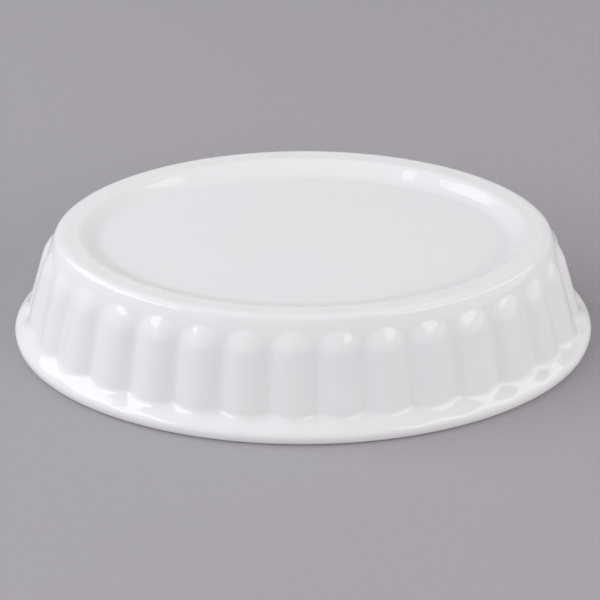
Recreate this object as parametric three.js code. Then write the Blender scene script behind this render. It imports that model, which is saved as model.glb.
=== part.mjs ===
import * as THREE from 'three';
import { mergeVertices } from 'three/addons/utils/BufferGeometryUtils.js';

// An oval, ribbed creme brulee dish of glazed porcelain, upside down on its rim.
// Millimetres, +Z up, the long side along X, the origin in the middle of the rim plane.
// An outline below is a list of (inset, height) points: how far inside the rim's edge, how far above its plane.

// Overall size
const LENGTH = 152.4;
const WIDTH = 101.6;
const HEIGHT = 32.3;

// Rim: a narrow flat crown with a rounded edge, flaring out of the wall
const LIP_EDGE_HEIGHT = 2.2;
const LIP_EDGE_WIDTH = 1.6;
const LIP_FLAT = 0.8;
const LIP_SHOULDER = 2.6;
const FLARE_HEIGHT = 8;
const FLARE_REACH = 4.8;
const FLARE_EASE = 2;
const MOUTH_EASE = 2.1;

// Wall and floor, with the wall's thickness measured level
const WALL_LEAN = THREE.MathUtils.degToRad(14.8);
const WALL_THICKNESS = 4;
const FLOOR_THICKNESS = 4;
const FLOOR_FILLET = 7;

// Ribs: raised ridges, lower round the two ends, that fade into the rim's flare and have rounded tops under the foot
const RIB_COUNT = 31;
const RIB_HEIGHT = 1.3;
const RIB_END_LOSS = 0.3;
const RIB_START = 3.6;
const RIB_FADE = 4.6;
const RIB_TOP = 6;
const RIB_NECK = 3.6;

// Foot: it leans in more than the wall, up to a rounded edge and a flat bare land, which both widen to the ends
const FOOT_HEIGHT = 4;
const FOOT_LEAN = THREE.MathUtils.degToRad(25);
const FOOT_EDGE_HEIGHT = 1.2;
const FOOT_EDGE_WIDTH = 1.3;
const FOOT_EDGE_END_WIDTH = 2.3;
const LAND_WIDTH = 2.4;
const LAND_END_WIDTH = 2.9;

// Recessed underside inside the foot: a slope with rounded ends, leaning from the level, down to a flat panel
const RECESS_DEPTH = 2.8;
const RECESS_LEAN = THREE.MathUtils.degToRad(27);
const RECESS_FOOT_EASE = 1.8;
const RECESS_LAND_EASE = 0.7;

const GLAZE_THICKNESS = 0.4;

// Fineness of the facets
const SMOOTH_STEPS = 2 * RIB_COUNT;
const RIBBED_STEPS = 4 * RIB_COUNT;
const EDGE_STEPS = 3;
const CURVE_STEPS = 4;

// Levels that follow from the sizes
const FOOT_LEVEL = HEIGHT - FOOT_HEIGHT;
const FOOT_EDGE_LEVEL = HEIGHT - FOOT_EDGE_HEIGHT;
const RIB_END_LEVEL = HEIGHT - RIB_NECK;
const RIB_FULL_LEVEL = RIB_END_LEVEL - RIB_TOP;
const PANEL_LEVEL = HEIGHT - RECESS_DEPTH;
const FLOOR_LEVEL = PANEL_LEVEL - FLOOR_THICKNESS;

const wallInset = (height) => FLARE_REACH + Math.tan(WALL_LEAN) * (height - FLARE_HEIGHT);
const innerWallInset = (height) => wallInset(height) + WALL_THICKNESS;
const footInset = (height) => wallInset(FOOT_LEVEL) + Math.tan(FOOT_LEAN) * (height - FOOT_LEVEL);

const FOOT_EDGE_START = footInset(FOOT_EDGE_LEVEL);
const LAND_OUTER = footInset(HEIGHT) + FOOT_EDGE_WIDTH;
const LAND_INNER = LAND_OUTER + LAND_WIDTH;

const rim = new THREE.EllipseCurve(0, 0, LENGTH / 2, WIDTH / 2);
rim.arcLengthDivisions = 4000;

// A point of the oval that lies inset from the rim, at a share of the way round from the right-hand end.
// The levels of the wall are parallel to the rim. Inside the foot's edge they shrink towards the middle.
function ovalPoint(share, inset, height) {
  const edge = rim.getPointAt(share);
  const outward = new THREE.Vector2(edge.x / rim.xRadius ** 2, edge.y / rim.yRadius ** 2).normalize();
  const parallel = Math.min(inset, LAND_OUTER);
  const shrink = inset - parallel;
  const onEdge = THREE.MathUtils.clamp((inset - FOOT_EDGE_START) / (LAND_OUTER - FOOT_EDGE_START), 0, 1);
  const onLand = Math.min(1, shrink / LAND_WIDTH);
  const edgeExtra = (FOOT_EDGE_END_WIDTH - FOOT_EDGE_WIDTH) * onEdge;
  const endShrink = shrink + edgeExtra + (LAND_END_WIDTH - LAND_WIDTH) * onLand;
  const x = (edge.x - outward.x * parallel) * (1 - endShrink / (rim.xRadius - parallel));
  const y = (edge.y - outward.y * parallel) * (1 - shrink / (rim.yRadius - parallel));
  return new THREE.Vector3(x, y, height);
}

// How far a rib stands out of the wall: a rounded ridge with a domed top, which fades out on the rim's flare.
function ribRelief(share, height) {
  const ribs = share * RIB_COUNT;
  const across = 2 * Math.abs(ribs - Math.round(ribs));
  const along = Math.max(0, height - RIB_FULL_LEVEL) / RIB_TOP;
  const ridge = Math.max(0, 1 - across ** 2 - along ** 2);
  const tall = RIB_HEIGHT * (1 - RIB_END_LOSS * (rim.getPointAt(share).x / rim.xRadius) ** 4);
  return tall * ridge * THREE.MathUtils.smoothstep(height, RIB_START, RIB_START + RIB_FADE);
}

// The recessed underside, from the edge of its flat panel out to the foot's land.
function recessOutline() {
  const lean = Math.tan(RECESS_LEAN);
  const slopeTop = LAND_INNER + RECESS_LAND_EASE;
  const slopeFoot = slopeTop + RECESS_DEPTH / lean;
  const outline = new THREE.Path();
  outline.moveTo(slopeFoot + RECESS_FOOT_EASE, PANEL_LEVEL);
  outline.quadraticCurveTo(
    slopeFoot, PANEL_LEVEL,
    slopeFoot - RECESS_FOOT_EASE, PANEL_LEVEL + lean * RECESS_FOOT_EASE,
  );
  outline.lineTo(slopeTop + RECESS_LAND_EASE, HEIGHT - lean * RECESS_LAND_EASE);
  outline.quadraticCurveTo(slopeTop, HEIGHT, LAND_INNER, HEIGHT);
  return outline.getPoints(CURVE_STEPS);
}

// The outside, from the foot's land down the wall, over the flare and round the lip's edge to its crown.
function outsideOutline() {
  const lean = Math.tan(WALL_LEAN);
  const neckEnd = 2 * FOOT_LEVEL - FOOT_EDGE_LEVEL;
  const footEdge = new THREE.QuadraticBezierCurve(
    new THREE.Vector2(LAND_OUTER, HEIGHT),
    new THREE.Vector2(footInset(HEIGHT), HEIGHT),
    new THREE.Vector2(footInset(FOOT_EDGE_LEVEL), FOOT_EDGE_LEVEL),
  );
  const neck = new THREE.QuadraticBezierCurve(
    new THREE.Vector2(footInset(FOOT_EDGE_LEVEL), FOOT_EDGE_LEVEL),
    new THREE.Vector2(wallInset(FOOT_LEVEL), FOOT_LEVEL),
    new THREE.Vector2(wallInset(neckEnd), neckEnd),
  );
  const flare = new THREE.CubicBezierCurve(
    new THREE.Vector2(FLARE_REACH, FLARE_HEIGHT),
    new THREE.Vector2(FLARE_REACH - lean * FLARE_EASE, FLARE_HEIGHT - FLARE_EASE),
    new THREE.Vector2(0, LIP_EDGE_HEIGHT + LIP_SHOULDER),
    new THREE.Vector2(0, LIP_EDGE_HEIGHT),
  );
  const lipEdge = new THREE.QuadraticBezierCurve(
    new THREE.Vector2(0, LIP_EDGE_HEIGHT),
    new THREE.Vector2(0, 0),
    new THREE.Vector2(LIP_EDGE_WIDTH, 0),
  );
  return [
    ...footEdge.getPoints(EDGE_STEPS),
    ...neck.getPoints(CURVE_STEPS).slice(1),
    new THREE.Vector2(wallInset(RIB_FULL_LEVEL), RIB_FULL_LEVEL),
    ...flare.getPoints(2 * CURVE_STEPS),
    ...lipEdge.getPoints(EDGE_STEPS).slice(1),
  ];
}

// The well, from the lip's crown up its wall and round the fillet to the edge of the flat floor.
function wellOutline() {
  const lean = Math.tan(WALL_LEAN);
  const crownEdge = LIP_EDGE_WIDTH + LIP_FLAT;
  const outline = new THREE.Path();
  outline.moveTo(crownEdge, 0);
  outline.bezierCurveTo(
    crownEdge + MOUTH_EASE, 0,
    innerWallInset(FLARE_HEIGHT) - lean * FLARE_EASE, FLARE_HEIGHT - FLARE_EASE,
    innerWallInset(FLARE_HEIGHT), FLARE_HEIGHT,
  );
  outline.lineTo(innerWallInset(FLOOR_LEVEL - FLOOR_FILLET), FLOOR_LEVEL - FLOOR_FILLET);
  outline.quadraticCurveTo(
    innerWallInset(FLOOR_LEVEL), FLOOR_LEVEL,
    innerWallInset(FLOOR_LEVEL) + FLOOR_FILLET, FLOOR_LEVEL,
  );
  return outline.getPoints(CURVE_STEPS);
}

// The same outline one coat of glaze deeper in the porcelain. The coat thins out to nothing at a flush end.
function underGlaze(outline, flushEnds) {
  const last = outline.length - 1;
  return outline.map((point, index) => {
    if (flushEnds.includes(index)) return point;
    const before = outline[Math.max(index - 1, 0)];
    const after = outline[Math.min(index + 1, last)];
    const along = new THREE.Vector2().subVectors(after, before).normalize();
    return new THREE.Vector2(point.x - along.y * GLAZE_THICKNESS, point.y + along.x * GLAZE_THICKNESS);
  });
}

function ring(point, steps, ribbed) {
  const points = [];
  for (let step = 0; step < steps; step += 1) {
    const share = step / steps;
    const relief = ribbed ? ribRelief(share, point.y) : 0;
    points.push(ovalPoint(share, point.x - relief, point.y));
  }
  return points;
}

const smoothRings = (outline) => outline.map((point) => ring(point, SMOOTH_STEPS, false));
const ribbedRings = (outline) => outline.map((point) => ring(point, SMOOTH_STEPS, true));

// The outside's rings, with more points round the ribs than round the plain rim and foot.
function fineRibbedRings(outline) {
  return outline.map((point) => {
    const onRibs = point.y > RIB_START && point.y < RIB_END_LEVEL;
    return ring(point, onRibs ? RIBBED_STEPS : SMOOTH_STEPS, true);
  });
}

const middle = (outlineEnd) => [new THREE.Vector3(0, 0, outlineEnd.y)];

// Triangles between two rings, which may have different numbers of points. A ring of one point closes the surface.
function bridge(first, second, corners) {
  let i = first.length > 1 ? 0 : 1;
  let j = second.length > 1 ? 0 : 1;
  while (i < first.length || j < second.length) {
    const start = [first[i % first.length], second[j % second.length]];
    if ((i + 1) / first.length <= (j + 1) / second.length) {
      i += 1;
      corners.push(...start, first[i % first.length]);
    } else {
      j += 1;
      corners.push(...start, second[j % second.length]);
    }
  }
}

function surface(rings) {
  const corners = [];
  for (let index = 1; index < rings.length; index += 1) {
    bridge(rings[index - 1], rings[index], corners);
  }
  return corners;
}

function turnedOver(corners) {
  const turned = [];
  for (let index = 0; index < corners.length; index += 3) {
    turned.push(corners[index], corners[index + 2], corners[index + 1]);
  }
  return turned;
}

function solid(corners) {
  const geometry = mergeVertices(new THREE.BufferGeometry().setFromPoints(corners));
  geometry.computeVertexNormals();
  return geometry;
}

// A coat of glaze between its glossy face and the porcelain behind it.
const coat = (face, back) => solid([...surface(face), ...turnedOver(surface(back))]);

const recess = recessOutline();
const outside = outsideOutline();
const well = wellOutline();

// Each glaze coat thins out at the bare foot's land, and at the crown of the lip.
const recessUnder = underGlaze(recess, [recess.length - 1]);
const outsideUnder = underGlaze(outside, [0, outside.length - 1]);
const wellUnder = underGlaze(well, [0]);

const recessRings = (outline) => [middle(outline[0]), ...smoothRings(outline)];
const wellRings = (outline) => [...smoothRings(outline), middle(outline.at(-1))];

const biscuit = (color) => new THREE.MeshStandardMaterial({ color, roughness: 0.75, metalness: 0 });
const glaze = (color) => new THREE.MeshStandardMaterial({ color, roughness: 0.12, metalness: 0 });

// The fired porcelain: bare on the foot's land and the lip's crown, under glaze everywhere else.
function porcelainBody() {
  const rings = [...recessRings(recessUnder), ...ribbedRings(outsideUnder), ...wellRings(wellUnder)];
  return new THREE.Mesh(solid(surface(rings)), biscuit(0xe8e5de));
}

// The coat on the ribbed outside, from the foot's edge to the lip.
function outerGlaze() {
  return new THREE.Mesh(coat(fineRibbedRings(outside), ribbedRings(outsideUnder)), glaze(0xf4f5f6));
}

// The coat on the well, from the lip to the middle of the floor.
function innerGlaze() {
  return new THREE.Mesh(coat(wellRings(well), wellRings(wellUnder)), glaze(0xf3f4f5));
}

// The coat on the recessed underside, out to the foot's land.
function baseGlaze() {
  return new THREE.Mesh(coat(recessRings(recess), recessRings(recessUnder)), glaze(0xf0f2f3));
}

const pieces = {
  porcelain_body: porcelainBody(),
  outer_glaze: outerGlaze(),
  inner_glaze: innerGlaze(),
  base_glaze: baseGlaze(),
};

const dish = new THREE.Group();
dish.name = 'creme_brulee_dish';
for (const [name, mesh] of Object.entries(pieces)) {
  mesh.name = name;
  dish.add(mesh);
}

export default dish;
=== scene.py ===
import math

import bpy
import numpy as np
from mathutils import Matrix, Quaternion, Vector


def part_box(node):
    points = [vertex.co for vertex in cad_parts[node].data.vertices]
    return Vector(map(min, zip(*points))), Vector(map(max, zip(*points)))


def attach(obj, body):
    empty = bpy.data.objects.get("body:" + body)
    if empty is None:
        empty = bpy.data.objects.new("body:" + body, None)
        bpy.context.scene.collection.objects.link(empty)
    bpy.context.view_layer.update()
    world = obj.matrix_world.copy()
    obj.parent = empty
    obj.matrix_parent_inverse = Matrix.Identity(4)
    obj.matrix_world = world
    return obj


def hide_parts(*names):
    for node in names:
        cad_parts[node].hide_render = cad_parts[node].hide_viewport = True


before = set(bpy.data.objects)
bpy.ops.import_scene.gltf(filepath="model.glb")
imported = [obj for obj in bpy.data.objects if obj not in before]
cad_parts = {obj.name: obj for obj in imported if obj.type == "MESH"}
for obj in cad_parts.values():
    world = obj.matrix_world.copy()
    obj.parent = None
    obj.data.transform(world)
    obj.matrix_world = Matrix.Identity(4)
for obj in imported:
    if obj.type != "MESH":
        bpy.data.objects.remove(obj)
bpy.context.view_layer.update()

# An oval, ribbed creme brulee dish of glazed porcelain, upside down on its rim.
# Sizes of the object are in millimetres here and become metres when a mesh is made.
# An outline is an array of (inset, height) rows: how far inside the rim's edge, how far above its plane.
# A ring is an array of (x, y, z, pooling) rows. Pooling says how much the glaze gathers, from 0 to 1.
MM = 0.001

# Overall size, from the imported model
DISH_LOW, DISH_HIGH = (np.array(corner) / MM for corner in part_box("outer_glaze"))
HALF_LENGTH, HALF_WIDTH = (DISH_HIGH - DISH_LOW)[:2] / 2
HEIGHT = (DISH_HIGH - DISH_LOW)[2]

# Rim
LIP_EDGE_HEIGHT = 2.2
LIP_EDGE_WIDTH = 1.6
LIP_FLAT = 0.8
LIP_SHOULDER = 2.2
FLARE_HEIGHT = 7.4
FLARE_REACH = 4.64
FLARE_EASE = 2.2
MOUTH_EASE = 2.1

# Wall and floor
LEAN = math.tan(math.radians(14.8))
WALL_THICKNESS = 4.0
FLOOR_THICKNESS = 4.0
FLOOR_FILLET = 7.0

# Ribs, which fade into the rim's flare and end in rounded tops under the foot
RIB_COUNT = 31
RIB_HEIGHT = 1.42
RIB_START = 2.8
RIB_FADE = 4.8
RIB_NECK = 3.6
RIB_TOP = 6.0
GROOVE_SOFTNESS = 0.65
TOP_SOFTNESS = 0.08

# The ribs are a little lower at the dish's ends, by this share and with this power of the way there
RIB_END_LOSS = 0.08
RIB_END_POWER = 4

# How much the ribs of a cast dish differ from each other
RIB_SEED = 11
RIB_HEIGHT_SPREAD = 0.05
RIB_NECK_SPREAD = 0.2

# Foot, which leans in more than the wall
FOOT_HEIGHT = 4.0
FOOT_LEAN = math.tan(math.radians(25))
FOOT_EDGE_HEIGHT = 1.2
FOOT_EDGE_WIDTH = 1.3
FOOT_EDGE_END_WIDTH = 2.3
LAND_WIDTH = 2.4
LAND_END_WIDTH = 2.9
RECESS_DEPTH = 2.8
RECESS_LEAN = math.tan(math.radians(31))
RECESS_FOOT_EASE = 1.5
RECESS_LAND_EASE = 0.7

GLAZE_THICKNESS = 0.4

# Fineness of the meshes: columns round the dish, rings on a flat face and steps along each curve
COLUMNS_PER_RIB = 16
COLUMNS = COLUMNS_PER_RIB * RIB_COUNT
RIM_SAMPLES = 40001
FLAT_RINGS = 6
RECESS_FOOT_STEPS = 20
RECESS_SLOPE_STEPS = 4
RECESS_LAND_STEPS = 10
FOOT_EDGE_STEPS = 14
NECK_STEPS = 28
WALL_STEPS = 40
FLARE_STEPS = 32
LIP_EDGE_STEPS = 12
MOUTH_STEPS = 24
INNER_WALL_STEPS = 8
FILLET_STEPS = 20
SHARP_ANGLE = math.radians(30)

FOOT_LEVEL = HEIGHT - FOOT_HEIGHT
FOOT_EDGE_LEVEL = HEIGHT - FOOT_EDGE_HEIGHT
RIB_LEVEL = HEIGHT - RIB_NECK
PANEL_LEVEL = HEIGHT - RECESS_DEPTH
FLOOR_LEVEL = PANEL_LEVEL - FLOOR_THICKNESS


def wall_inset(height):
    return FLARE_REACH + LEAN * (height - FLARE_HEIGHT)


def inner_wall_inset(height):
    return wall_inset(height) + WALL_THICKNESS


def foot_inset(height):
    return wall_inset(FOOT_LEVEL) + FOOT_LEAN * (height - FOOT_LEVEL)


FOOT_EDGE_START = foot_inset(FOOT_EDGE_LEVEL)
LAND_OUTER = foot_inset(HEIGHT) + FOOT_EDGE_WIDTH
LAND_INNER = LAND_OUTER + LAND_WIDTH
CROWN_EDGE = LIP_EDGE_WIDTH + LIP_FLAT


# Shape

def bezier(points, steps):
    """Rows along a Bezier curve of any degree, both ends included."""
    t = np.linspace(0, 1, steps + 1)[:, None]
    layer = [np.array(point) * np.ones_like(t) for point in points]
    while len(layer) > 1:
        layer = [(1 - t) * a + t * b for a, b in zip(layer, layer[1:])]
    return layer[0]


def chain(*curves):
    """One outline out of several curves that each start where the last one ends."""
    return np.concatenate([curves[0]] + [curve[1:] for curve in curves[1:]])


def smooth_step(value):
    value = np.clip(value, 0, 1)
    return value * value * (3 - 2 * value)


def rim_edge():
    """Equal steps round the rim from its right-hand end: the share of the way, the place and the way out."""
    angle = np.linspace(0, 2 * math.pi, RIM_SAMPLES)
    steps = np.hypot(HALF_LENGTH * np.diff(np.cos(angle)), HALF_WIDTH * np.diff(np.sin(angle)))
    way = np.concatenate([[0], np.cumsum(steps)])
    share = np.arange(COLUMNS) / COLUMNS
    at = np.interp(share, way / way[-1], angle)
    edge = np.stack([HALF_LENGTH * np.cos(at), HALF_WIDTH * np.sin(at)])
    outward = np.stack([np.cos(at) / HALF_LENGTH, np.sin(at) / HALF_WIDTH])
    return share, edge, outward / np.linalg.norm(outward, axis=0)


SHARE, EDGE, OUTWARD = rim_edge()


def rib_differences():
    """Each column's rib height and the level of its rib's top."""
    random = np.random.default_rng(RIB_SEED)
    heights = RIB_HEIGHT * (1 + RIB_HEIGHT_SPREAD * random.uniform(-1, 1, RIB_COUNT))
    levels = RIB_LEVEL + RIB_NECK_SPREAD * random.uniform(-1, 1, RIB_COUNT)
    rib = np.round(SHARE * RIB_COUNT).astype(int) % RIB_COUNT
    end_loss = RIB_END_LOSS * (EDGE[0] / HALF_LENGTH) ** RIB_END_POWER
    return heights[rib] * (1 - end_loss), levels[rib]


COLUMN_RIB_HEIGHT, COLUMN_RIB_LEVEL = rib_differences()


def rib_relief(height):
    """How far the ribs stand out of the wall at a level, from 0 in the grooves to 1 on the crests."""
    ribs = SHARE * RIB_COUNT
    across = 2 * np.abs(ribs - np.round(ribs))
    along = np.maximum(0, height - COLUMN_RIB_LEVEL + RIB_TOP) / RIB_TOP
    crest = np.maximum(0, 1 - across ** 2 - along ** 2)
    softness = GROOVE_SOFTNESS + (TOP_SOFTNESS - GROOVE_SOFTNESS) * np.minimum(1, along)
    return (np.hypot(crest, softness) - softness) / (np.hypot(1, softness) - softness)


def rib_fade(height):
    """How much of the ribs is left at a level, from 0 on the rim's flare to 1 on the wall."""
    return smooth_step((height - RIB_START) / RIB_FADE)


def oval_ring(inset, height, pooling):
    """One level of the dish: parallel to the rim outside the foot's land, shrinking to the middle inside it.

    The foot's edge and its land are wider at the dish's ends than at its sides.
    """
    parallel = np.minimum(inset, LAND_OUTER)
    shrink = inset - parallel
    on_edge = np.clip((inset - FOOT_EDGE_START) / (LAND_OUTER - FOOT_EDGE_START), 0, 1)
    on_land = np.minimum(1, shrink / LAND_WIDTH)
    wider_edge = (FOOT_EDGE_END_WIDTH - FOOT_EDGE_WIDTH) * on_edge
    wider_land = (LAND_END_WIDTH - LAND_WIDTH) * on_land
    end_shrink = shrink + wider_edge + wider_land
    x, y = EDGE - OUTWARD * parallel
    x = x * (1 - end_shrink / (HALF_LENGTH - parallel))
    y = y * (1 - shrink / (HALF_WIDTH - parallel))
    return np.stack([x, y, np.full(COLUMNS, height), pooling * np.ones(COLUMNS)], axis=1)


def ribbed_rings(outline):
    """Rings of the outside. The glaze runs off the crests and the foot's edge and gathers in the grooves."""
    rings = []
    for inset, height in outline:
        relief = rib_relief(height) * rib_fade(height)
        pooling = (1 - relief) * rib_fade(height) * smooth_step((HEIGHT - height) / RIB_NECK)
        rings.append(oval_ring(inset - COLUMN_RIB_HEIGHT * relief, height, pooling))
    return rings


def recess_rings(outline):
    """Rings of the underside, where the glaze gathers at the foot of the slope."""
    rings = []
    for inset, height in outline:
        pooling = smooth_step((HEIGHT - height) / RECESS_DEPTH)
        rings.append(oval_ring(inset, height, pooling))
    return rings


def well_rings(outline):
    """Rings of the well, where the glaze gathers towards the floor."""
    rings = []
    for inset, height in outline:
        pooling = smooth_step(height / FLOOR_LEVEL)
        rings.append(oval_ring(inset, height, pooling))
    return rings


def flat_rings(edge):
    """Rings of a flat face, from near its middle out to but without its edge."""
    shares = np.arange(1, FLAT_RINGS) / FLAT_RINGS
    return [edge * (share, share, 1, 1) for share in shares]


def recess_outline():
    """The recessed underside, from the edge of its flat panel out to the foot's land."""
    slope_top = LAND_INNER + RECESS_LAND_EASE
    slope_foot = slope_top + RECESS_DEPTH / RECESS_LEAN
    upper = (slope_top + RECESS_LAND_EASE, HEIGHT - RECESS_LEAN * RECESS_LAND_EASE)
    lower = (slope_foot - RECESS_FOOT_EASE, PANEL_LEVEL + RECESS_LEAN * RECESS_FOOT_EASE)
    foot = bezier([
        (slope_foot + RECESS_FOOT_EASE, PANEL_LEVEL),
        (slope_foot, PANEL_LEVEL),
        lower,
    ], RECESS_FOOT_STEPS)
    slope = bezier([lower, upper], RECESS_SLOPE_STEPS)
    land = bezier([
        upper,
        (slope_top, HEIGHT),
        (LAND_INNER, HEIGHT),
    ], RECESS_LAND_STEPS)
    return chain(foot, slope, land)


def outside_outline():
    """The outside, from the foot's land down the wall, over the flare and round the lip to its crown."""
    neck_end = 2 * FOOT_LEVEL - FOOT_EDGE_LEVEL
    foot_edge = bezier([
        (LAND_OUTER, HEIGHT),
        (foot_inset(HEIGHT), HEIGHT),
        (FOOT_EDGE_START, FOOT_EDGE_LEVEL),
    ], FOOT_EDGE_STEPS)
    neck = bezier([
        (FOOT_EDGE_START, FOOT_EDGE_LEVEL),
        (wall_inset(FOOT_LEVEL), FOOT_LEVEL),
        (wall_inset(neck_end), neck_end),
    ], NECK_STEPS)
    wall = bezier([
        (wall_inset(neck_end), neck_end),
        (FLARE_REACH, FLARE_HEIGHT),
    ], WALL_STEPS)
    flare = bezier([
        (FLARE_REACH, FLARE_HEIGHT),
        (FLARE_REACH - LEAN * FLARE_EASE, FLARE_HEIGHT - FLARE_EASE),
        (0, LIP_EDGE_HEIGHT + LIP_SHOULDER),
        (0, LIP_EDGE_HEIGHT),
    ], FLARE_STEPS)
    lip_edge = bezier([
        (0, LIP_EDGE_HEIGHT),
        (0, 0),
        (LIP_EDGE_WIDTH, 0),
    ], LIP_EDGE_STEPS)
    return chain(foot_edge, neck, wall, flare, lip_edge)


def well_outline():
    """The well, from the lip's crown up its wall and round the fillet to the edge of the flat floor."""
    fillet_start = FLOOR_LEVEL - FLOOR_FILLET
    mouth = bezier([
        (CROWN_EDGE, 0),
        (CROWN_EDGE + MOUTH_EASE, 0),
        (inner_wall_inset(FLARE_HEIGHT) - LEAN * FLARE_EASE, FLARE_HEIGHT - FLARE_EASE),
        (inner_wall_inset(FLARE_HEIGHT), FLARE_HEIGHT),
    ], MOUTH_STEPS)
    wall = bezier([
        (inner_wall_inset(FLARE_HEIGHT), FLARE_HEIGHT),
        (inner_wall_inset(fillet_start), fillet_start),
    ], INNER_WALL_STEPS)
    fillet = bezier([
        (inner_wall_inset(fillet_start), fillet_start),
        (inner_wall_inset(FLOOR_LEVEL), FLOOR_LEVEL),
        (inner_wall_inset(FLOOR_LEVEL) + FLOOR_FILLET, FLOOR_LEVEL),
    ], FILLET_STEPS)
    return chain(mouth, wall, fillet)


def under_glaze(outline, start_flush, end_flush):
    """The outline one coat deeper in the porcelain. The coat thins out to nothing at a flush end."""
    along = np.gradient(outline, axis=0)
    along /= np.linalg.norm(along, axis=1)[:, None]
    depth = np.full((len(outline), 1), GLAZE_THICKNESS)
    if start_flush:
        depth[0] = 0
    if end_flush:
        depth[-1] = 0
    return outline + depth * np.stack([-along[:, 1], along[:, 0]], axis=1)


# Meshes

def loft_faces(rings, looped):
    """Faces between rings of equal count. The last ring joins the first, or a point closes each end."""
    faces = []
    for row in range(rings if looped else rings - 1):
        start = row * COLUMNS
        above = (row + 1) % rings * COLUMNS
        for column in range(COLUMNS):
            after = (column + 1) % COLUMNS
            faces.append((start + column, start + after, above + after, above + column))
    if not looped:
        first_middle = rings * COLUMNS
        last = (rings - 1) * COLUMNS
        for column in range(COLUMNS):
            after = (column + 1) % COLUMNS
            faces.append((first_middle, after, column))
            faces.append((first_middle + 1, last + column, last + after))
    return faces


def loft(name, rings, looped=False):
    """A smooth mesh object through the rings, with the glaze's pooling as an attribute of its points."""
    rows = np.concatenate(rings)
    if not looped:
        rows = np.concatenate([rows, [rings[0].mean(axis=0), rings[-1].mean(axis=0)]])
    mesh = bpy.data.meshes.new(name)
    mesh.from_pydata((rows[:, :3] * MM).tolist(), [], loft_faces(len(rings), looped))
    pooling = mesh.attributes.new("pooling", "FLOAT", "POINT")
    pooling.data.foreach_set("value", rows[:, 3])
    mesh.shade_smooth()
    mesh.set_sharp_from_angle(angle=SHARP_ANGLE)
    piece = bpy.data.objects.new(name, mesh)
    bpy.context.scene.collection.objects.link(piece)
    return piece


def add_piece(piece, node, material):
    piece.data.materials.append(material)
    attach(piece, "root")
    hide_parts(node)


# Shader nodes

# Places of the colour sockets on a mix node, which has several sockets of each name
MIX_AMOUNT = 0
MIX_FIRST = 6
MIX_SECOND = 7
MIX_RESULT = 2


def feed(tree, socket, value):
    """Gives a socket another node's output, or a constant."""
    if isinstance(value, bpy.types.NodeSocket):
        tree.links.new(value, socket)
    else:
        socket.default_value = value


def calculate(tree, operation, first, second):
    node = tree.nodes.new("ShaderNodeMath")
    node.operation = operation
    feed(tree, node.inputs[0], first)
    feed(tree, node.inputs[1], second)
    return node.outputs["Value"]


def measure(tree, operation, first, second):
    """A number worked out from two vectors."""
    node = tree.nodes.new("ShaderNodeVectorMath")
    node.operation = operation
    feed(tree, node.inputs[0], first)
    feed(tree, node.inputs[1], second)
    return node.outputs["Value"]


def blend(tree, amount, first, second):
    """The colour that lies the given amount of the way from the first to the second."""
    node = tree.nodes.new("ShaderNodeMix")
    node.data_type = "RGBA"
    feed(tree, node.inputs[MIX_AMOUNT], amount)
    feed(tree, node.inputs[MIX_FIRST], first)
    feed(tree, node.inputs[MIX_SECOND], second)
    return node.outputs[MIX_RESULT]


def map_range(tree, value, low, high, at_low, at_high):
    node = tree.nodes.new("ShaderNodeMapRange")
    settings = {"Value": value, "From Min": low, "From Max": high, "To Min": at_low, "To Max": at_high}
    for name, setting in settings.items():
        feed(tree, node.inputs[name], setting)
    return node.outputs["Result"]


def noise(tree, place, scale, detail):
    node = tree.nodes.new("ShaderNodeTexNoise")
    feed(tree, node.inputs["Vector"], place)
    feed(tree, node.inputs["Scale"], scale)
    feed(tree, node.inputs["Detail"], detail)
    return node.outputs["Fac"]


def dot(tree, distance, radius):
    """1 in the inner half of the radius, fading to 0 at the radius."""
    return map_range(tree, distance, radius / 2, radius, 1.0, 0.0)


def specks(tree, place, scale, radius, share):
    """1 in sparse round specks and 0 between them. Only a share of the cells holds one."""
    cells = tree.nodes.new("ShaderNodeTexVoronoi")
    feed(tree, cells.inputs["Vector"], place)
    feed(tree, cells.inputs["Scale"], scale)
    parts = tree.nodes.new("ShaderNodeSeparateColor")
    feed(tree, parts.inputs["Color"], cells.outputs["Color"])
    chosen = calculate(tree, "LESS_THAN", parts.outputs["Red"], share)
    return calculate(tree, "MULTIPLY", chosen, dot(tree, cells.outputs["Distance"], radius))


def bump(tree, height, distance):
    node = tree.nodes.new("ShaderNodeBump")
    feed(tree, node.inputs["Height"], height)
    feed(tree, node.inputs["Distance"], distance)
    return node.outputs["Normal"]


def new_material(name):
    """A material, its node tree, its shader's inputs and the place on the object, in metres."""
    material = bpy.data.materials.new(name)
    material.use_nodes = True
    tree = material.node_tree
    place = tree.nodes.new("ShaderNodeTexCoord").outputs["Object"]
    return material, tree, tree.nodes["Principled BSDF"].inputs, place


# Materials. A scale is a pattern's repeats per metre, and a radius of specks is a share of their cell.
# Most of a noise lies between these two values.
NOISE_LOW = 0.3
NOISE_HIGH = 0.7

# Glaze
COOL_WHITE = (0.862, 0.864, 0.873, 1)
WARM_WHITE = (0.878, 0.864, 0.88, 1)
TINT_SCALE = 26.0
TINT_DETAIL = 2.0
TINT_LOW = 0.36
TINT_HIGH = 0.64
POOL_WHITE = (0.852, 0.852, 0.864, 1)
POOL_STRENGTH = 0.35
# Brown of the iron specks. The same brown also paints the shade of the pinhole on the foot's edge
IRON_AND_PIT_SHADE_BROWN = (0.46, 0.42, 0.36, 1)
IRON_SCALE = 190.0
IRON_RADIUS = 0.045
IRON_SHARE = 0.05
IRON_STRENGTH = 0.35
GLOSS_SCALE = 90.0
GLOSS_DETAIL = 3.0
GLAZE_ROUGHNESS_LOW = 0.004
GLAZE_ROUGHNESS_HIGH = 0.012
GLAZE_IOR = 1.5
WAVE_SCALE = 75.0
PEEL_SCALE = 420.0
SURFACE_DETAIL = 1.0
PEEL_STRENGTH = 0.03
WAVE_DEPTH = 0.00025
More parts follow.
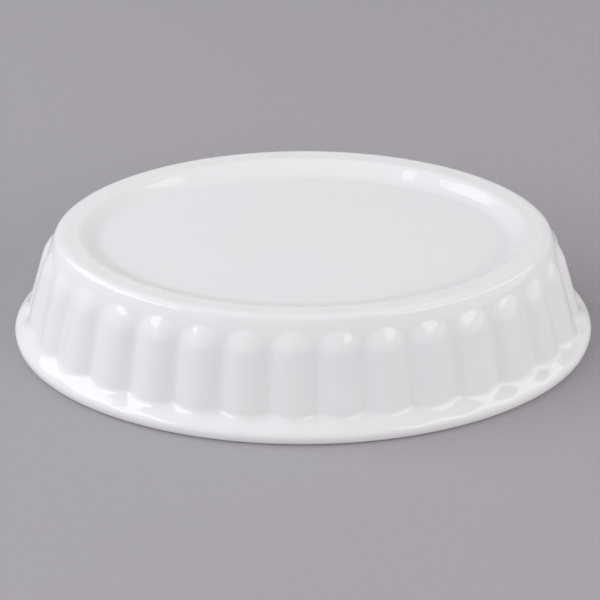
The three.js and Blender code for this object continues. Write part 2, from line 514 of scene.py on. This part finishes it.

# Painted shade of a pinhole in the glaze on the foot's front edge: a small dark dot, with no hole in the
# mesh. Its place and radius, in metres
PIT_SHADE_PLACE = (-0.0118, -0.0372, 0.0318)
PIT_SHADE_RADIUS = 0.0005


def glaze_material():
    """Clear gloss glaze on white porcelain: a drift of tint, cooler pools, iron specks, the painted shade of
    a pinhole and gentle waves.
    """
    material, tree, inputs, place = new_material("white_glaze")
    drift = map_range(tree, noise(tree, place, TINT_SCALE, TINT_DETAIL), TINT_LOW, TINT_HIGH, 0.0, 1.0)
    white = blend(tree, drift, COOL_WHITE, WARM_WHITE)
    attribute = tree.nodes.new("ShaderNodeAttribute")
    attribute.attribute_name = "pooling"
    pool = calculate(tree, "MULTIPLY", attribute.outputs["Fac"], POOL_STRENGTH)
    pooled = blend(tree, pool, white, POOL_WHITE)
    iron = specks(tree, place, IRON_SCALE, IRON_RADIUS, IRON_SHARE)
    faint_iron = calculate(tree, "MULTIPLY", iron, IRON_STRENGTH)
    # Painted shade: a dark dot stands for the shade inside the pinhole and is painted with the iron specks'
    # brown
    pit_shade = dot(tree, measure(tree, "DISTANCE", place, PIT_SHADE_PLACE), PIT_SHADE_RADIUS)
    iron_and_pit_shade = calculate(tree, "MAXIMUM", faint_iron, pit_shade)
    feed(tree, inputs["Base Color"], blend(tree, iron_and_pit_shade, pooled, IRON_AND_PIT_SHADE_BROWN))
    sheen = noise(tree, place, GLOSS_SCALE, GLOSS_DETAIL)
    gloss = map_range(tree, sheen, NOISE_LOW, NOISE_HIGH, GLAZE_ROUGHNESS_LOW, GLAZE_ROUGHNESS_HIGH)
    feed(tree, inputs["Roughness"], gloss)
    feed(tree, inputs["IOR"], GLAZE_IOR)
    waves = noise(tree, place, WAVE_SCALE, SURFACE_DETAIL)
    peel = calculate(tree, "MULTIPLY", noise(tree, place, PEEL_SCALE, SURFACE_DETAIL), PEEL_STRENGTH)
    feed(tree, inputs["Normal"], bump(tree, calculate(tree, "ADD", waves, peel), WAVE_DEPTH))
    return material


# Bare porcelain
DARK_CLAY = (0.845, 0.842, 0.838, 1)
LIGHT_CLAY = (0.872, 0.868, 0.86, 1)
GRAIN_SCALE = 1600.0
GRAIN_DETAIL = 3.0
GRAIN_DEPTH = 0.00003
CLAY_ROUGHNESS_LOW = 0.45
CLAY_ROUGHNESS_HIGH = 0.65
STAIN_COLOUR = (0.79, 0.775, 0.75, 1)
STAIN_SCALE = 85.0
STAIN_DETAIL = 4.0
STAIN_LOW = 0.48
STAIN_HIGH = 0.75
STAIN_STRENGTH = 0.45
DARK_GRAIN_COLOUR = (0.42, 0.38, 0.33, 1)
DARK_GRAIN_SCALE = 420.0
DARK_GRAIN_RADIUS = 0.1
DARK_GRAIN_SHARE = 0.03
DARK_GRAIN_STRENGTH = 0.6


def biscuit_material():
    """Bare fired porcelain: fine matt grain, faint kiln stains and a few dark grains."""
    material, tree, inputs, place = new_material("bare_porcelain")
    grain = noise(tree, place, GRAIN_SCALE, GRAIN_DETAIL)
    clay = blend(tree, map_range(tree, grain, NOISE_LOW, NOISE_HIGH, 0.0, 1.0), DARK_CLAY, LIGHT_CLAY)
    patches = noise(tree, place, STAIN_SCALE, STAIN_DETAIL)
    stains = map_range(tree, patches, STAIN_LOW, STAIN_HIGH, 0.0, STAIN_STRENGTH)
    stained = blend(tree, stains, clay, STAIN_COLOUR)
    grains = specks(tree, place, DARK_GRAIN_SCALE, DARK_GRAIN_RADIUS, DARK_GRAIN_SHARE)
    dark = calculate(tree, "MULTIPLY", grains, DARK_GRAIN_STRENGTH)
    feed(tree, inputs["Base Color"], blend(tree, dark, stained, DARK_GRAIN_COLOUR))
    matt = map_range(tree, grain, NOISE_LOW, NOISE_HIGH, CLAY_ROUGHNESS_LOW, CLAY_ROUGHNESS_HIGH)
    feed(tree, inputs["Roughness"], matt)
    feed(tree, inputs["Normal"], bump(tree, grain, GRAIN_DEPTH))
    return material


# Paper
DARK_PAPER = (0.419, 0.393, 0.421, 1)
LIGHT_PAPER = (0.435, 0.409, 0.437, 1)
FIBRE_SCALE = 700.0
FIBRE_DETAIL = 4.0
PAPER_ROUGHNESS = 0.9
PAPER_SHINE = 0.1


def stage_material():
    """Grey paper with a faint fibre grain."""
    material, tree, inputs, place = new_material("grey_paper")
    fibres = map_range(tree, noise(tree, place, FIBRE_SCALE, FIBRE_DETAIL), NOISE_LOW, NOISE_HIGH, 0.0, 1.0)
    feed(tree, inputs["Base Color"], blend(tree, fibres, DARK_PAPER, LIGHT_PAPER))
    feed(tree, inputs["Roughness"], PAPER_ROUGHNESS)
    feed(tree, inputs["Specular IOR Level"], PAPER_SHINE)
    return material


# Pieces

def dish():
    """The porcelain and its three coats of glaze. Where two of them meet, they share the same rings."""
    recess = recess_outline()
    outside = outside_outline()
    well = well_outline()
    glaze = glaze_material()
    biscuit = biscuit_material()

    base_face = recess_rings(recess)
    base_back = recess_rings(under_glaze(recess, False, True))
    outer_face = ribbed_rings(outside)
    outer_back = ribbed_rings(under_glaze(outside, True, True))
    inner_face = well_rings(well)
    inner_back = well_rings(under_glaze(well, True, False))

    base_face = flat_rings(base_face[0]) + base_face
    base_back = flat_rings(base_back[0]) + base_back
    inner_face = inner_face + flat_rings(inner_face[-1])[::-1]
    inner_back = inner_back + flat_rings(inner_back[-1])[::-1]

    body = loft("porcelain", base_back + outer_back + inner_back)
    add_piece(body, "porcelain_body", biscuit)
    outer = loft("outside_glaze", outer_face + outer_back[::-1][1:-1], looped=True)
    add_piece(outer, "outer_glaze", glaze)
    inner = loft("well_glaze", inner_back[::-1] + inner_face[1:])
    add_piece(inner, "inner_glaze", glaze)
    base = loft("underside_glaze", base_face + base_back[::-1][1:])
    add_piece(base, "base_glaze", glaze)


# Stage, light and camera, in metres and degrees. Bearing 0 is the front, and 90 the right.
FLOOR_SIZE = 12.0
LAMP_DISTANCE = 1.0

# Softboxes: name, bearing, elevation, roll, width, height, radiance, colour
SOFTBOXES = (
    ("left_softbox", -92, 39, 0, 0.8, 0.5, 2.6, (0.95, 0.98, 1.05)),
    ("left_front_softbox", -54, 31, 0, 0.48, 0.31, 3.1, (0.97, 0.99, 1.03)),
    ("right_softbox", 64, 31, 0, 1.4, 0.37, 2.25, (1, 1, 1)),
    ("back_left_strip", -107, 59, -35, 0.13, 0.55, 2.5, (1, 1, 1)),
    ("back_left_spot", -85, 76, 0, 0.035, 0.03, 2.5, (1, 1, 1)),
    ("back_right_strip", 88, 68, 35, 0.12, 0.5, 1.7, (1, 1, 1)),
)

# The room's own light: bearing, elevation and strength of each glow, which fades into the next
ROOM_GLOWS = (
    (-60, 0, 0.64),
    (90, -25, 2.0),
    (0, 0, 0.5),
    (180, 0, 0.58),
    (-90, 50, 0.36),
)
GLOW_POWER = 2.0


def stage():
    bpy.ops.mesh.primitive_plane_add(size=FLOOR_SIZE)
    floor = bpy.context.object
    floor.name = "floor"
    floor.data.materials.append(stage_material())


def direction(bearing, elevation):
    """The way from the object towards a bearing and elevation."""
    b = math.radians(bearing)
    e = math.radians(elevation)
    return Vector((math.sin(b) * math.cos(e), -math.cos(b) * math.cos(e), math.sin(e)))


def softbox(name, bearing, elevation, roll, width, height, radiance, colour):
    """A lamp that faces the dish, with the power that its area and radiance need."""
    light = bpy.data.lights.new(name, "AREA")
    light.shape = "RECTANGLE"
    light.size = width
    light.size_y = height
    light.energy = radiance * math.pi * width * height
    light.color = colour
    lamp = bpy.data.objects.new(name, light)
    away = direction(bearing, elevation)
    lamp.location = away * LAMP_DISTANCE
    turn = Quaternion((0, 0, 1), math.radians(roll))
    lamp.rotation_euler = (away.to_track_quat("Z", "Y") @ turn).to_euler()
    bpy.context.scene.collection.objects.link(lamp)


def surround():
    """A smooth room. Each glow counts by a power of how directly a ray runs to it."""
    world = bpy.data.worlds.new("studio")
    bpy.context.scene.world = world
    world.use_nodes = True
    tree = world.node_tree
    ray = tree.nodes.new("ShaderNodeTexCoord").outputs["Generated"]
    strength = 0.0
    for bearing, elevation, level in ROOM_GLOWS:
        cosine = measure(tree, "DOT_PRODUCT", ray, direction(bearing, elevation))
        towards = calculate(tree, "MAXIMUM", cosine, 0.0)
        share = calculate(tree, "POWER", towards, GLOW_POWER)
        strength = calculate(tree, "ADD", strength, calculate(tree, "MULTIPLY", share, level))
    background = tree.nodes["Background"]
    feed(tree, background.inputs["Strength"], strength)
    feed(tree, background.inputs["Color"], (1, 1, 1, 1))


def lights():
    for settings in SOFTBOXES:
        softbox(*settings)
    surround()


# The photograph's view, with the middle of the dish at this pixel of the 600-pixel frame
FRAME_PIXELS = 600
MIDDLE_PIXEL = (303.2, 281.5)
FOCAL_PIXELS = 4184.2
SENSOR_WIDTH = 36.0
CAMERA_BEARING = -0.4
CAMERA_ELEVATION = 34.77
CAMERA_DISTANCE = 1.1


def camera():
    data = bpy.data.cameras.new("camera")
    data.sensor_width = SENSOR_WIDTH
    data.lens = FOCAL_PIXELS / FRAME_PIXELS * SENSOR_WIDTH
    view = bpy.data.objects.new("camera", data)
    bpy.context.scene.collection.objects.link(view)
    middle = Vector((0, 0, HEIGHT * MM / 2))
    back = direction(CAMERA_BEARING, CAMERA_ELEVATION)
    right = Vector((0, 0, 1)).cross(back).normalized()
    up = back.cross(right)
    metres_per_pixel = CAMERA_DISTANCE / FOCAL_PIXELS
    aside = (MIDDLE_PIXEL[0] - FRAME_PIXELS / 2) * metres_per_pixel
    below = (MIDDLE_PIXEL[1] - FRAME_PIXELS / 2) * metres_per_pixel
    aim = middle - right * aside + up * below
    view.location = middle + back * CAMERA_DISTANCE
    view.rotation_euler = (view.location - aim).to_track_quat("Z", "Y").to_euler()
    bpy.context.scene.camera = view


dish()
stage()
lights()
camera()
bpy.context.scene.view_settings.view_transform = "Standard"
